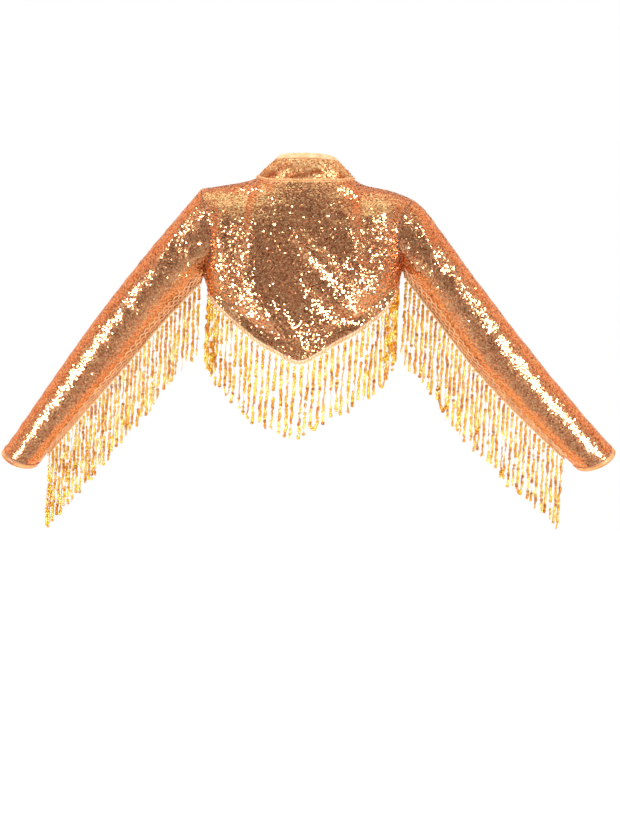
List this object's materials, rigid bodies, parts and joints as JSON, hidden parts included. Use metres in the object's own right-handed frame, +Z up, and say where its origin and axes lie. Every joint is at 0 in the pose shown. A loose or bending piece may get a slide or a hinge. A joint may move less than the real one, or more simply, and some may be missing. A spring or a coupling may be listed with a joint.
{
  "type": "sequin shrug",
  "caption": "Cropped long-sleeved sequin shrug with a stand collar, a pointed back hem and sequin fringe hanging from the hem and the sleeve seams.",
  "frame": {"origin": "neck base between the shoulders, where the shrug is held", "axes": "+X to the picture's right along the sleeves' span, +Y away from the picture's camera (the garment's back faces -Y), +Z up"},
  "size_m": [1.14, 0.2834, 0.682],
  "materials": {
    "back": "knit base covered with small copper sequins",
    "front_left": "knit base covered with small copper sequins",
    "front_right": "knit base covered with small copper sequins",
    "collar": "knit base covered with small copper sequins",
    "sleeve_left": "knit base covered with small copper sequins",
    "sleeve_right": "knit base covered with small copper sequins",
    "cuff_left": "smooth satin band",
    "cuff_right": "smooth satin band",
    "fringe_hem": "gold cup-sequin strands on a pale header tape",
    "fringe_sleeve_left": "gold cup-sequin strands on a pale header tape",
    "fringe_sleeve_right": "gold cup-sequin strands on a pale header tape"
  },
  "bodies": {
    "root": {"back": "back", "front_left": "front_left", "front_right": "front_right", "collar": "collar", "sleeve_left": "sleeve_left", "sleeve_right": "sleeve_right", "cuff_left": "cuff_left", "cuff_right": "cuff_right", "fringe_hem": "fringe_hem", "fringe_sleeve_left": "fringe_sleeve_left", "fringe_sleeve_right": "fringe_sleeve_right"}
  },
  "joints": []
}
